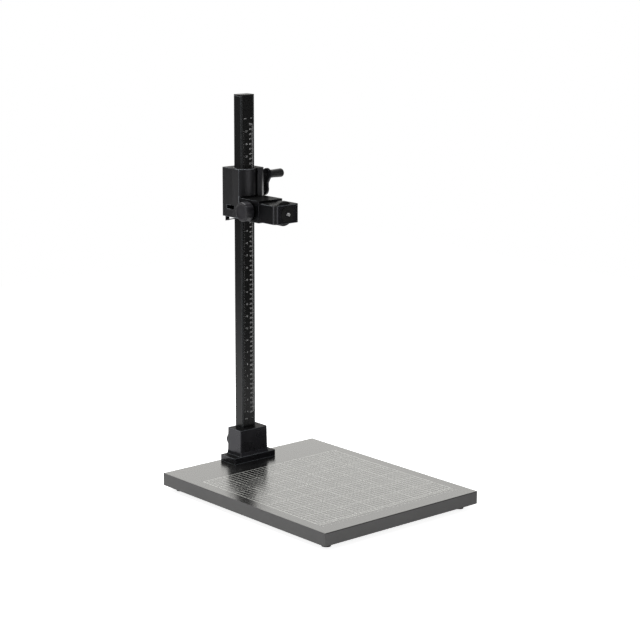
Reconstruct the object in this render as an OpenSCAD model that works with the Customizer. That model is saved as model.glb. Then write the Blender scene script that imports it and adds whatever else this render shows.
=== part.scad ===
// Copy stand: a baseboard with a printed grid, a column with a height scale, and a
// crank-driven carriage whose arm carries a camera platform that tilts on the arm's axis.
// Millimetres. The origin is the centre of the board's top face, where heights start.
// +X is the operator's right, -Y the front, +Z up.

/* [Baseboard] */
// Width of the board, left to right
board_w = 400; // [320:10:600]
// Depth of the board, front to back
board_d = 500; // [400:10:800]
// Thickness of the chipboard core
core_t = 24; // [18:1:40]
// Thickness of the grid sheet on top and of the backing sheet underneath
sheet_t = 0.8; // [0.4:0.1:1.5]
// Thickness of the edge banding
band_t = 1; // [0.5:0.1:3]

/* [Rubber feet] */
// Diameter of a rubber foot
pad_d = 20; // [16:1:30]
// Height of a rubber foot
pad_h = 10; // [7:0.5:16]
// Distance from the board's edges to the middle of a foot
pad_inset = 25; // [18:1:60]
// Diameter of the screw that holds a foot
pad_screw_d = 4; // [3:0.5:5]

/* [Column] */
// Width of the column, left to right
column_w = 35; // [30:1:36]
// Depth of the column, front to back
column_d = 23.5; // [20:0.5:26]
// Height of the column above the board, with its cap
column_h = 760; // [720:10:1200]
// Wall thickness of the column's extrusion
column_wall = 2.8; // [2:0.1:4]
// Bevel along the column's four long edges
column_bevel = 1.2; // [0.5:0.1:2]
// Distance from the board's back edge to the middle of the column
column_setback = 18; // [18:1:60]
// Thickness of the cap's plate
cap_t = 3; // [2:0.5:6]
// Depth that the cap's plug reaches into the column
cap_plug = 12; // [8:1:20]
// Width of the scale strip on the column's front
scale_w = 28; // [20:1:30]
// Thickness of the scale strip
scale_t = 0.4; // [0.3:0.1:0.8]

/* [Column foot] */
// Width of the foot's flange
flange_w = 109; // [100:1:130]
// Thickness of the foot's flange
flange_t = 13; // [11:0.5:18]
// How far the flange reaches in front of the column's middle
flange_front = 32; // [30:1:45]
// Width of the foot's block at its top
block_w = 70; // [60:1:72]
// Height of the block's top above the board
block_h = 68; // [60:1:110]
// How far the block reaches in front of the column's middle
block_front = 28; // [20:1:28]
// How far flange and block reach behind the column's middle
foot_back = 15; // [15:0.5:17]
// Radius of the foot's upright edges
foot_r = 1.5; // [1:0.5:6]
// Distance between the bolts of the foot, left to right
bolt_span_x = 86; // [84:1:90]
// Distance between the bolts of the foot, front to back
bolt_span_y = 24; // [20:1:28]
// Diameter of a bolt of the foot
bolt_d = 6; // [5:0.5:8]

/* [Carriage] */
// Height of the carriage's underside above the board
carriage_z = 512; // [300:1:560]
// Height of the carriage
carriage_h = 100; // [95:1:130]
// Width of the carriage
carriage_w = 63; // [60:1:70]
// How far the carriage's front plane lies in front of the column's middle
carriage_front = 21; // [20.5:0.5:24]
// How far the carriage's back lies behind the column's middle
carriage_back = 33; // [33:0.5:40]
// Wall thickness of the carriage's shells
shell_t = 3; // [2.5:0.5:4]
// Thickness of the carriage's floor and roof, which hold the guide liners
end_t = 12; // [10:1:15]
// Thickness of a guide liner around the column
liner_t = 2.4; // [1.5:0.1:3]
// Radius of the rounded drive cover on the front
cover_r = 29; // [28:0.5:31]
// Distance of the cover's axis to the left of the column's middle
cover_x = 8.5; // [6:0.5:10]
// How far the bearing pillar stands in front of the carriage's front plane
pillar_out = 7.5; // [6:0.5:10]
// Width of the bearing pillar
pillar_w = 20; // [18:1:22]
// Radius of the pillar's outer front edge
pillar_r = 8; // [4:0.5:9]

/* [Crank drive] */
// Height of the crank's axis above the carriage's underside
crank_up = 55; // [51:0.5:56]
// Diameter of the crank shaft
shaft_d = 6; // [5:0.5:7]
// Diameter of the friction roller that runs on the column
roller_d = 11; // [9:0.5:11.5]
// Length of the friction roller
roller_l = 16; // [10:1:18]
// Distance from the crank's axis to the grip's axis
crank_r = 32; // [30:1:48]
// Lean of the crank towards the front at rest, in degrees
crank_lean = 18; // [0:1:45]
// Diameter of the crank's hub
hub_d = 28; // [20:1:30]
// Diameter of the crank's boss under the grip
boss_d = 25; // [19:1:28]
// Thickness of the crank arm
crank_t = 4; // [3:0.5:6]
// Gap between the carriage's side and the crank arm
crank_gap = 4; // [3:0.5:10]
// Diameter of the grip
grip_d = 17.8; // [13:0.2:18]
// Length of the grip
grip_l = 38; // [30:1:60]

/* [Brake] */
// Height of the brake shaft above the carriage's underside
brake_up = 33; // [30:1:34]
// How far the brake shaft lies behind the column's middle
brake_back = 23.5; // [23:0.5:23.5]
// Diameter of the brake shaft
brake_shaft_d = 8; // [6:0.5:8]
// Diameter of the brake's cam
cam_d = 12; // [10:0.5:12.5]
// Width of the brake lever
lever_w = 9; // [6:0.5:10]
// Thickness of the brake lever's steel
lever_t = 2; // [1.5:0.1:2.5]
// How far the brake lever hangs below the carriage
lever_drop = 10; // [9:0.5:12]
// Length of the brake lever's finger tab
lever_tab = 20; // [10:1:20]

/* [Camera arm] */
// Width of the arm block
arm_w = 62; // [56:1:62]
// Length of the arm block, from the carriage's front plane
arm_l = 63.5; // [55:0.5:90]
// Height of the arm block
arm_h = 44.5; // [42:0.5:46]
// Radius of the arm block's edges
arm_r = 2; // [1:0.5:5]
// Diameter of the arm's knob
knob_d = 40; // [30:1:42]
// Length of the arm's knob
knob_l = 19; // [14:1:30]
// Distance from the carriage's front plane to the knob's axis
knob_out = 34; // [26:1:36]
// Diameter of the studs of both knobs
stud_d = 8; // [6:0.5:8]

/* [Camera carrier] */
// Width of the camera carrier
head_w = 64; // [60:1:66]
// Length of the camera carrier
head_l = 49.5; // [49:0.5:60]
// Height of the camera carrier
head_h = 37.5; // [36:0.5:42]
// Radius of the camera carrier's two front edges
head_r = 8.5; // [2:0.5:9]
// Diameter of the spigot that turns in the arm block
spigot_d = 30; // [26:0.5:31]
// Diameter of the screw wheel
wheel_d = 49.8; // [42:0.2:50]
// Thickness of the screw wheel
wheel_t = 12.6; // [8:0.2:14]
// Thickness of the carrier's wall in front of the wheel
nose_t = 9.6; // [8:0.2:12]
// Diameter of the camera screw's thread, a quarter inch
thread_d = 6.35; // [6:0.05:6.5]
// Length of the camera screw in front of the platform
thread_l = 4.5; // [4:0.1:8]
// Diameter of the rubber ring on the platform
ring_d = 32; // [24:1:34]
// Thickness of the rubber ring on the platform
ring_t = 1.2; // [0.8:0.1:2]

/* [Foot clamp] */
// Diameter of the clamp knob behind the column foot
clamp_d = 30; // [18:1:30]
// Length of the clamp knob
clamp_l = 20; // [12:1:30]
// Height of the clamp's axis above the board
clamp_z = 32; // [28:1:40]

/* [Fits] */
// Radial clearance of a pin or shaft that turns in a bore
run_fit = 0.05; // [0.02:0.01:0.1]
// Clearance between flat faces that slide on each other
slide_fit = 0.1; // [0.05:0.01:0.2]
// Gap between pieces that pass each other without touching
free_gap = 0.3; // [0.2:0.1:0.5]

/* [Hidden] */
$fn = 64;
eps = 0.01;
board_t = core_t + 2 * sheet_t;
inner_w = board_w - 2 * band_t;
inner_d = board_d - 2 * band_t;
sheet_bottom = -board_t;
// Screws of the rubber feet
pad_head_d = 2 * pad_screw_d;
pad_head_t = 0.6 * pad_screw_d;
pad_floor_t = 4;
pad_screw_grip = 14;
pad_taper = 1;
// Middle of the column, and its front and back faces
col_y = board_d / 2 - column_setback;
col_front = col_y - column_d / 2;
col_back = col_y + column_d / 2;
groove_t = scale_t + slide_fit;
strip_front = col_front + groove_t - scale_t;
// The foot's flange, block and bolts
draft = 1;
// The block's foot spreads a little towards the flange
skirt_out = 2;
skirt_h = 7;
bolt_y = col_y - (flange_front - foot_back) / 2;
bolt_deep = flange_t - 3;
washer_d = 2.6 * bolt_d;
washer_t = 1.6;
hex_t = 0.7 * bolt_d;
hex_d = 2 * bolt_d;
sink_d = washer_d + 2;
sink_t = washer_t + hex_t + 3;
column_slack = 0.15;
foot_rear = col_y + foot_back;
// The clamp behind the foot: a shoe in the wall, a stud and a knob
shoe_d = 12;
shoe_t = 2;
shoe_front = col_back + slide_fit;
clamp_flutes = 8;
clamp_neck = 12;
clamp_neck_d = 14;
clamp_front = foot_rear + clamp_neck;
// Planes of the carriage
car_front = col_y - carriage_front;
car_back = col_y + carriage_back;
car_top = carriage_z + carriage_h;
car_x = carriage_w / 2;
split_y = col_y - 1;
room_z0 = carriage_z + end_t;
room_z1 = car_top - end_t;
passage_x = column_w / 2 + slide_fit + liner_t;
passage_front = col_front - slide_fit - liner_t;
passage_back = col_back + slide_fit + liner_t;
lip_t = 2;
lip_out = 2;
liner_inset = 0.5;
rear_r = 2;
arm_drop = 2;
arm_z = carriage_z - arm_drop;
arm_top = arm_z + arm_h;
// Drive cover and pillar on the carriage's front
cover_y = car_front + sqrt(pow(cover_r, 2) - pow(car_x - cover_x, 2));
cover_wall = 2.5;
cover_round = 4.5;
pillar_x0 = car_x - pillar_w;
pillar_front = car_front - pillar_out;
// Crank axis, which puts the roller on the scale strip's face
axis_z = carriage_z + crank_up;
axis_y = strip_front - roller_d / 2 - run_fit;
bush_d = shaft_d + 4;
bush_flange_d = bush_d + 4;
bush_flange_t = 1.5;
bush_l = 9;
rib_x1 = -passage_x - free_gap;
rib_t = 4;
arm_x0 = car_x + crank_gap;
arm_x1 = arm_x0 + crank_t;
collar_d = 16;
waist_w = 17.6;
waist_flare = 5;
waist_end = 3.5;
hub_screw_d = 7;
hub_screw_t = 2.5;
grip_y = axis_y - crank_r * sin(crank_lean);
grip_z = axis_z + crank_r * cos(crank_lean);
pin_d = 5;
pin_head_d = 9;
pin_head_t = 2;
grip_x0 = arm_x1 + free_gap;
grip_x1 = grip_x0 + grip_l;
grip_taper = 0.6;
grip_waist = 1.4;
grip_cone = 12;
grip_round = 5;
pin_sink = 1;
// Brake parts behind the column
brake_y = col_y + brake_back;
brake_z = carriage_z + brake_up;
pad_front = col_back + slide_fit;
brake_pad_w = 18;
brake_pad_tall = 16;
brake_pad_t = brake_y - cam_d / 2 - run_fit - pad_front;
cam_throw = 1;
cam_l = brake_pad_w - 2;
lever_x0 = -car_x + shell_t + 1;
lever_x1 = lever_x0 + lever_w;
lever_ring_d = brake_shaft_d + 4;
lever_y1 = brake_y + brake_shaft_d / 2 + 0.5;
lever_bottom = carriage_z - lever_drop;
tab_rise = 4.5;
brake_rib_t = 4;
brake_rib_x = lever_x1 + 1;
guide_t = 2.5;
// Shell screws
shell_screw_d = 4;
shell_head_d = 7.5;
shell_head_t = 3.5;
head_sink = 0.5;
socket_t = 2;
shell_screw_x = car_x - 6.3;
shell_screw_l = 14;
screw_boss_d = 9;
screw_low = carriage_z + end_t / 2;
screw_high = car_top - end_t / 2;
screw_mid = brake_z + 35;
shell_screws = [
    [-shell_screw_x, screw_high], [shell_screw_x, screw_high],
    [shell_screw_x, screw_low], [-shell_screw_x, screw_mid]
];
// Slot in the carriage's left side
slot_y0 = col_y - 5.5;
slot_y1 = col_y + 18.5;
slot_z0 = carriage_z + 16.5;
slot_z1 = carriage_z + 24.5;
// Arm block, its bolts and clamp
arm_front = car_front - arm_l;
axis_up = 21.5;
arm_axis_z = arm_z + axis_up;
knob_y = car_front - knob_out;
spigot_room = 46;
spigot_groove = 2;
groove_w = stud_d + 1;
arm_shoe_l = 4;
arm_bolt_d = 5;
arm_bolt_head_d = 8;
arm_bolt_head_t = 3;
bolt_seat = car_front + shell_t;
arm_bolt_x = car_x - shell_t - arm_bolt_head_d / 2 - 1;
arm_bolt_deep = 9;
arm_bolt_z = [arm_axis_z - 3, arm_axis_z + 15];
knob_neck_d = 24;
knob_neck_l = 2;
knob_x0 = -arm_w / 2 - free_gap - knob_neck_l;
knob_x1 = knob_x0 - knob_l;
knob_flutes = 12;
flute_d = 5;
// Camera carrier
thrust_t = 2;
thrust_d = head_h - 1;
head_back = arm_front - thrust_t;
head_front = head_back - head_l;
wheel_gap = 0.2;
wheel_y0 = head_front + nose_t + wheel_gap;
wheel_y1 = wheel_y0 + wheel_t;
wheel_room_d = wheel_d + 1.2;
spigot_tail_d = 24;
spigot_tail_l = 18;
spigot_l = spigot_room - 2;
spigot_bolt_d = 8;
spigot_bolt_head_d = 13;
spigot_bolt_head_t = 5;
head_seat = wheel_y1 + wheel_gap + spigot_bolt_head_t;
ring_hole_d = 12;
thread_relief = 1;
wheel_web = 1;
wheel_notches = 40;
notch_d = 1.8;

// Cutters reach 1 mm past the faces they open.
// A box between two corners
module block(low, high) {
    translate(low) cube(high - low);
}

// A rectangle between two corners with rounded corners
module rounded_plan(low, high, r) {
    translate([low[0] + r, low[1]]) square([high[0] - low[0] - 2 * r, high[1] - low[1]]);
    translate([low[0], low[1] + r]) square([high[0] - low[0], high[1] - low[1] - 2 * r]);
    for (x = [low[0] + r, high[0] - r], y = [low[1] + r, high[1] - r]) {
        translate([x, y]) circle(r = r);
    }
}

// An upright slab of a rounded plan
module slab(low, high, z0, z1, r) {
    translate([0, 0, z0]) linear_extrude(z1 - z0) rounded_plan(low, high, r);
}

// A cylinder along X, from x0 to x1
module rod_x(d, x0, x1, y, z) {
    translate([x0, y, z]) rotate([0, 90, 0]) cylinder(d = d, h = x1 - x0);
}

// A cylinder along Y, from y0 to y1
module rod_y(d, y0, y1, x, z) {
    translate([x, y0, z]) rotate([-90, 0, 0]) cylinder(d = d, h = y1 - y0);
}

// A cylinder along Z, from z0 to z1
module rod_z(d, z0, z1, x, y) {
    translate([x, y, z0]) cylinder(d = d, h = z1 - z0);
}

// Places the children at the four rubber feet
module at_pads() {
    for (x = [-1, 1], y = [-1, 1]) {
        translate([x * (board_w / 2 - pad_inset), y * (board_d / 2 - pad_inset), sheet_bottom]) children();
    }
}

// Places the children at the four bolts of the column foot
module at_bolts() {
    for (x = [-1, 1], y = [-1, 1]) {
        translate([x * bolt_span_x / 2, bolt_y + y * bolt_span_y / 2, 0]) children();
    }
}

// A sheet of the board between two heights, drilled for the column foot
module board_layer(z0, z1) {
    difference() {
        block([-inner_w / 2, -inner_d / 2, z0], [inner_w / 2, inner_d / 2, z1]);
        at_bolts() rod_z(bolt_d + 1, z0 - 1, z1 + 1, 0, 0);
    }
}

module baseboard_core() color("#b89468") difference() {
    board_layer(sheet_bottom + sheet_t, -sheet_t);
    at_bolts() rod_z(sink_d, sheet_bottom, sheet_bottom + sink_t, 0, 0);
    at_pads() rod_z(pad_screw_d + 2 * run_fit, 0, pad_screw_grip + 1, 0, 0);
}

module grid_sheet() color("#8a8d8a") board_layer(-sheet_t, 0);

module backing_sheet() color("#4a4b4a") difference() {
    board_layer(sheet_bottom, sheet_bottom + sheet_t);
    at_bolts() rod_z(sink_d, sheet_bottom - 1, 0, 0, 0);
    at_pads() rod_z(pad_screw_d + 2 * run_fit, -1, pad_screw_grip, 0, 0);
}

// Banding on a long side, which covers the ends of the short sides' banding
module side_band(x0) color("#58595a") {
    block([x0, -board_d / 2, sheet_bottom], [x0 + band_t, board_d / 2, 0]);
}

// Banding on the front or back, between the side bands
module end_band(y0) color("#58595a") {
    block([-inner_w / 2, y0, sheet_bottom], [inner_w / 2, y0 + band_t, 0]);
}

module edge_band_front() end_band(-board_d / 2);

module edge_band_back() end_band(inner_d / 2);

module edge_band_left() side_band(-board_w / 2);

module edge_band_right() side_band(inner_w / 2);

// Each foot is a slightly tapered cup with a recess for its screw
module rubber_feet() color("#141414") at_pads() difference() {
    rotate_extrude() polygon([
        [0, 0], [pad_d / 2, 0], [pad_d / 2 - pad_taper, -pad_h], [0, -pad_h]
    ]);
    rod_z(pad_screw_d + 2 * run_fit, -pad_h - 1, 1, 0, 0);
    rod_z(pad_head_d + 1, -pad_h - 1, -pad_floor_t, 0, 0);
}

module rubber_foot_screws() color("#c9cacb") at_pads() union() {
    rod_z(pad_screw_d, -pad_floor_t, pad_screw_grip, 0, 0);
    rod_z(pad_head_d, -pad_floor_t - pad_head_t, -pad_floor_t, 0, 0);
}

// Die-cast foot: a flange and a block with a little draft, and a pocket for the column
module column_foot() color("#232426") difference() {
    union() {
        slab([-flange_w / 2, col_y - flange_front], [flange_w / 2, foot_rear], 0, flange_t, foot_r);
        hull() {
            slab([-block_w / 2 - draft, col_y - block_front - draft], [block_w / 2 + draft, foot_rear],
                flange_t - 1, flange_t, foot_r, $fn = 32);
            slab([-block_w / 2, col_y - block_front], [block_w / 2, foot_rear],
                block_h - 1, block_h, foot_r, $fn = 32);
        }
        hull() {
            slab([-block_w / 2 - draft - skirt_out, col_y - block_front - draft - skirt_out],
                [block_w / 2 + draft + skirt_out, foot_rear], flange_t - 1, flange_t, foot_r, $fn = 32);
            slab([-block_w / 2 - draft, col_y - block_front - draft], [block_w / 2 + draft, foot_rear],
                flange_t + skirt_h - 1, flange_t + skirt_h, foot_r, $fn = 32);
        }
    }
    block([-column_w / 2 - column_slack, col_front - column_slack, -1],
        [column_w / 2 + column_slack, col_back + column_slack, block_h + 1]);
    rod_y(stud_d + 2 * run_fit, col_back, foot_rear + 1, 0, clamp_z);
    rod_y(shoe_d + 2 * run_fit, col_back, shoe_front + shoe_t, 0, clamp_z);
    at_bolts() rod_z(bolt_d + 2 * run_fit, -1, bolt_deep, 0, 0);
}

// Hexagon bolts from under the board
module column_foot_bolts() color("#b9babb") at_bolts() union() {
    seat = sheet_bottom + sink_t - washer_t;
    rod_z(hex_d, seat - hex_t, seat, 0, 0, $fn = 6);
    rod_z(bolt_d, seat - eps, bolt_deep - 1, 0, 0);
}

module column_foot_washers() color("#c4c5c6") at_bolts() difference() {
    rod_z(washer_d, sheet_bottom + sink_t - washer_t, sheet_bottom + sink_t, 0, 0);
    rod_z(bolt_d + 2 * run_fit, sheet_bottom, 0, 0, 0);
}

module foot_clamp_shoe() color("#b08a3c") rod_y(shoe_d, shoe_front, shoe_front + shoe_t, 0, clamp_z);

module foot_clamp_stud() color("#b9babb") {
    rod_y(stud_d, shoe_front + shoe_t + run_fit, clamp_front + clamp_l / 2, 0, clamp_z);
}

// A round knob with flutes, turned about Z with its face up
module fluted_knob(d, l, bore_d, bore_l, flutes) {
    difference() {
        cylinder(d = d, h = l);
        translate([0, 0, -1]) cylinder(d = bore_d, h = bore_l + 1);
        for (i = [0 : flutes - 1]) {
            rotate(i * 360 / flutes) translate([d / 2 + flute_d / 4, 0, -1]) {
                cylinder(d = flute_d, h = l + 2);
            }
        }
    }
}

// A sleeve on the stud between a knob and what it clamps
module knob_neck(d, l, bore_d) {
    translate([0, 0, -l]) difference() {
        cylinder(d = d, h = l);
        translate([0, 0, -1]) cylinder(d = bore_d, h = l + 2);
    }
}

module foot_clamp_knob() color("#1b1b1d") translate([0, clamp_front, clamp_z]) rotate([-90, 0, 0]) {
    fluted_knob(clamp_d, clamp_l, stud_d, clamp_l / 2, clamp_flutes);
    knob_neck(clamp_neck_d, clamp_neck - free_gap, stud_d);
}

// Cross-section of the column: bevelled edges, a hollow and a groove for the scale
module column_plan() {
    w = column_w / 2;
    d = column_d / 2;
    b = column_bevel;
    difference() {
        polygon([
            [b - w, -d], [w - b, -d], [w, b - d], [w, d - b],
            [w - b, d], [b - w, d], [-w, d - b], [-w, b - d]
        ]);
        square([column_w - 2 * column_wall, column_d - 2 * column_wall], center = true);
        translate([-scale_w / 2, -d - 1]) square([scale_w, groove_t + 1]);
    }
}

module column() color("#26272a") {
    translate([0, col_y, 0]) linear_extrude(column_h - cap_t) column_plan();
}

// Plastic cap with a plug that fills the column's hollow
module column_cap() color("#161617") translate([0, col_y, column_h - cap_t]) union() {
    plug_w = column_w - 2 * column_wall - 2 * run_fit;
    plug_d = column_d - 2 * column_wall - 2 * run_fit;
    linear_extrude(cap_t) polygon([
        [column_bevel - column_w / 2, -column_d / 2], [column_w / 2 - column_bevel, -column_d / 2],
        [column_w / 2, column_bevel - column_d / 2], [column_w / 2, column_d / 2 - column_bevel],
        [column_w / 2 - column_bevel, column_d / 2], [column_bevel - column_w / 2, column_d / 2],
        [-column_w / 2, column_d / 2 - column_bevel], [-column_w / 2, column_bevel - column_d / 2]
    ]);
    translate([-plug_w / 2, -plug_d / 2, -cap_plug]) cube([plug_w, plug_d, cap_plug]);
}

module scale_strip() color("#121314") {
    block([-scale_w / 2 + run_fit, strip_front, block_h + 1],
        [scale_w / 2 - run_fit, col_front + groove_t, column_h - cap_t]);
}

// Space around the column inside the carriage, filled by the liners at both ends
module passage() {
    block([-passage_x, passage_front, carriage_z - 1], [passage_x, passage_back, car_top + 1]);
}

// Places the children at the four screws that join the two shells
module at_shell_screws() {
    for (p = shell_screws) {
        translate([p[0], 0, p[1]]) children();
    }
}

module side_slot() {
    block([-car_x - 1, slot_y0, slot_z0], [-car_x + shell_t + 1, slot_y1, slot_z1]);
}

// The drive cover is part of an upright drum, whose lower edge is rounded
module cover_drum() {
    intersection() {
        translate([-cover_x, cover_y, arm_top]) rotate_extrude($fn = 96) {
            square([cover_r - cover_round, car_top - arm_top]);
            translate([0, cover_round]) square([cover_r, car_top - arm_top - cover_round]);
            intersection() {
                translate([cover_r - cover_round, cover_round]) circle(r = cover_round);
                square([cover_r, cover_round]);
            }
        }
        block([-car_x, 0, arm_top], [pillar_x0 + eps, split_y, car_top]);
    }
}

// Room inside the cover and the shell above the arm block
module cover_room() {
    z0 = arm_top + cover_wall;
    block([-car_x + cover_wall, car_front + cover_wall, z0], [car_x - cover_wall, split_y, room_z1]);
    intersection() {
        rod_z(2 * (cover_r - cover_wall), z0, room_z1, -cover_x, cover_y, $fn = 96);
        block([-car_x + cover_wall, 0, z0], [pillar_x0, split_y, room_z1]);
    }
}

module pillar_plan() {
    translate([pillar_x0, pillar_front]) square([pillar_w - pillar_r, split_y - pillar_front]);
    translate([pillar_x0, pillar_front + pillar_r]) square([pillar_w, split_y - pillar_front - pillar_r]);
    translate([car_x - pillar_r, pillar_front + pillar_r]) circle(r = pillar_r);
}

// Front half of the carriage, with the drive cover, the pillar and the shaft's rib
module carriage_front_shell() color("#2c2c30") difference() {
    union() {
        block([-car_x, car_front, carriage_z], [car_x, split_y, car_top]);
        cover_drum();
        translate([0, 0, arm_top]) linear_extrude(car_top - arm_top) pillar_plan();
    }
    difference() {
        union() {
            block([-car_x + shell_t, car_front + shell_t, room_z0], [pillar_x0, split_y + 1, room_z1]);
            block([0, car_front + shell_t, room_z0], [car_x - shell_t, split_y + 1, arm_top]);
            cover_room();
        }
        block([rib_x1 - rib_t, 0, axis_z - bush_d], [rib_x1, split_y, axis_z + bush_d]);
        block([pillar_x0, pillar_front, axis_z - bush_d], [car_x, split_y, axis_z + bush_d]);
        at_shell_screws() rod_y(screw_boss_d, car_front, split_y, 0, 0);
    }
    passage();
    side_slot();
    rod_x(bush_d + 2 * run_fit, car_x - bush_l, car_x + 1, axis_y, axis_z);
    rod_x(bush_d + 2 * run_fit, rib_x1 - rib_t - 1, rib_x1 + 1, axis_y, axis_z);
    rod_x(shaft_d + 2 * run_fit, rib_x1, car_x, axis_y, axis_z);
    at_shell_screws() rod_y(shell_screw_d + 2 * run_fit, split_y - shell_screw_l - 1, split_y + 1, 0, 0);
    for (x = [-arm_bolt_x, arm_bolt_x], z = arm_bolt_z) {
        rod_y(arm_bolt_d + 2 * run_fit, car_front - 1, car_front + shell_t + 1, x, z);
    }
}

// Rear half of the carriage, with ribs for the brake shaft and guides for its pad
module carriage_rear_shell() color("#2c2c30") difference() {
    slab([-car_x, split_y - rear_r - 1], [car_x, car_back], carriage_z, car_top, rear_r);
    block([-car_x - 1, split_y - rear_r - 2, carriage_z - 1], [car_x + 1, split_y, car_top + 1]);
    difference() {
        block([-car_x + shell_t, split_y - 1, room_z0], [car_x - shell_t, car_back - shell_t, room_z1]);
        for (x = [brake_rib_x, -brake_rib_x - brake_rib_t]) {
            block([x, col_back + free_gap, brake_z - cam_d], [x + brake_rib_t, car_back, brake_z + cam_d]);
        }
        for (z = [brake_z - brake_pad_tall / 2 - guide_t, brake_z + brake_pad_tall / 2]) {
            block([-brake_pad_w / 2, col_back + 1, z], [brake_pad_w / 2, car_back, z + guide_t]);
        }
        at_shell_screws() rod_y(screw_boss_d, split_y, car_back, 0, 0);
    }
    passage();
    side_slot();
    rod_x(brake_shaft_d + 2 * run_fit, brake_rib_x - 1, car_x - shell_t, brake_y, brake_z);
    block([lever_x0 - free_gap, lever_y1 - lever_w - lever_t, carriage_z - 1],
        [lever_x1 + free_gap, lever_y1 + free_gap, room_z0 + 1]);
    at_shell_screws() {
        rod_y(shell_screw_d + 2 * run_fit, split_y - 1, car_back, 0, 0);
        rod_y(shell_head_d + 2 * run_fit, car_back - shell_head_t - head_sink, car_back + 1, 0, 0);
    }
}

module carriage_shell_screws() color("#8d8e90") at_shell_screws() difference() {
    union() {
        rod_y(shell_screw_d, split_y - shell_screw_l, car_back - shell_head_t - head_sink, 0, 0);
        rod_y(shell_head_d, car_back - shell_head_t - head_sink, car_back - head_sink, 0, 0);
    }
    rod_y(shell_head_d / 2, car_back - head_sink - socket_t, car_back, 0, 0, $fn = 6);
}

// A plastic ring that lines the carriage's floor or roof, with a lip on the inside
module guide_liner(z0, z1, lip_z) color("#d8d8d2") difference() {
    union() {
        block([-passage_x, passage_front, z0], [passage_x, passage_back, z1]);
        block([-passage_x - lip_out, passage_front, lip_z],
            [passage_x + lip_out, passage_back, lip_z + lip_t]);
    }
    block([-column_w / 2 - slide_fit, col_front - slide_fit, z0 - 3],
        [column_w / 2 + slide_fit, col_back + slide_fit, z1 + 3]);
}

module upper_guide_liner() guide_liner(room_z1 - lip_t, car_top - liner_inset, room_z1 - lip_t);

module lower_guide_liner() guide_liner(carriage_z + liner_inset, room_z0 + lip_t, room_z0);

module brake_pad() color("#6b4a2c") {
    block([-brake_pad_w / 2, pad_front, brake_z - brake_pad_tall / 2],
        [brake_pad_w / 2, pad_front + brake_pad_t, brake_z + brake_pad_tall / 2]);
}

module brake_shaft() color("#b9babb") {
    rod_x(brake_shaft_d, lever_x0, -brake_rib_x, brake_y, brake_z);
}

// Eccentric on the brake shaft, which lets the pad go when the lever swings forward
module brake_cam() color("#9a9b9d") difference() {
    rod_x(cam_d, -cam_l / 2, cam_l / 2, brake_y, brake_z + cam_throw);
    rod_x(brake_shaft_d, -cam_l, cam_l, brake_y, brake_z);
}

// Bent steel lever: a ring on the shaft, a leg through the floor and a rising finger tab
module brake_lever() color("#a9aaac") difference() {
    union() {
        rod_x(lever_ring_d, lever_x0, lever_x1, brake_y, brake_z);
        block([lever_x0, lever_y1 - lever_t, lever_bottom], [lever_x1, lever_y1, brake_z]);
        translate([lever_x0, lever_y1, lever_bottom]) rotate([90, 0, 90]) linear_extrude(lever_w) polygon([
            [0, 0], [0, lever_t], [-lever_tab, tab_rise + lever_t], [-lever_tab, tab_rise]
        ]);
    }
    rod_x(brake_shaft_d, lever_x0 - 1, lever_x1 + 1, brake_y, brake_z);
}

// A flanged bush in the pillar and a plain one in the rib
module crank_bushes() color("#b08a3c") difference() {
    union() {
        rod_x(bush_d, car_x - bush_l, car_x, axis_y, axis_z);
        rod_x(bush_flange_d, car_x, car_x + bush_flange_t, axis_y, axis_z);
        rod_x(bush_d, rib_x1 - rib_t, rib_x1, axis_y, axis_z);
    }
    rod_x(shaft_d + 2 * run_fit, -car_x, car_x + crank_gap, axis_y, axis_z);
}

module crank_shaft() color("#b9babb") rod_x(shaft_d, rib_x1 - rib_t, arm_x1, axis_y, axis_z);

module friction_roller() color("#3a3a3c") difference() {
    rod_x(roller_d, -roller_l / 2, roller_l / 2, axis_y, axis_z);
    rod_x(shaft_d, -roller_l, roller_l, axis_y, axis_z);
}

// Outline of the crank arm, with the hub at the origin and the boss up along Y
module crank_plan() {
    circle(d = hub_d);
    translate([0, crank_r]) circle(d = boss_d);
    polygon([
        [-waist_w / 2 - waist_flare, 0], [waist_w / 2 + waist_flare, 0], [waist_w / 2, crank_r / 2],
        [waist_w / 2 + waist_end, crank_r], [-waist_w / 2 - waist_end, crank_r], [-waist_w / 2, crank_r / 2]
    ]);
}

// Crank arm with a collar against the bush
module crank_arm() color("#17171a") difference() {
    union() {
        translate([arm_x0, axis_y, axis_z]) rotate([crank_lean, 0, 0]) rotate([90, 0, 90]) {
            linear_extrude(crank_t) crank_plan();
        }
        rod_x(collar_d, car_x + bush_flange_t + run_fit, arm_x0 + 1, axis_y, axis_z);
    }
    rod_x(shaft_d, car_x, arm_x1 + 1, axis_y, axis_z);
    rod_x(pin_d, car_x, arm_x1 + 1, grip_y, grip_z);
}

module crank_screw() color("#8d8e90") difference() {
    rod_x(hub_screw_d, arm_x1, arm_x1 + hub_screw_t, axis_y, axis_z);
    rod_x(hub_screw_d / 2, arm_x1 + 1, arm_x1 + hub_screw_t + 1, axis_y, axis_z, $fn = 6);
}

// Riveted pin: a shank through the crank's boss and a head sunk in the grip's end
module crank_grip_pin() color("#b9babb") union() {
    rod_x(pin_d, arm_x0, grip_x1 - pin_head_t - pin_sink, grip_y, grip_z);
    rod_x(pin_head_d, grip_x1 - pin_head_t - pin_sink, grip_x1 - pin_sink, grip_y, grip_z);
}

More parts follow.
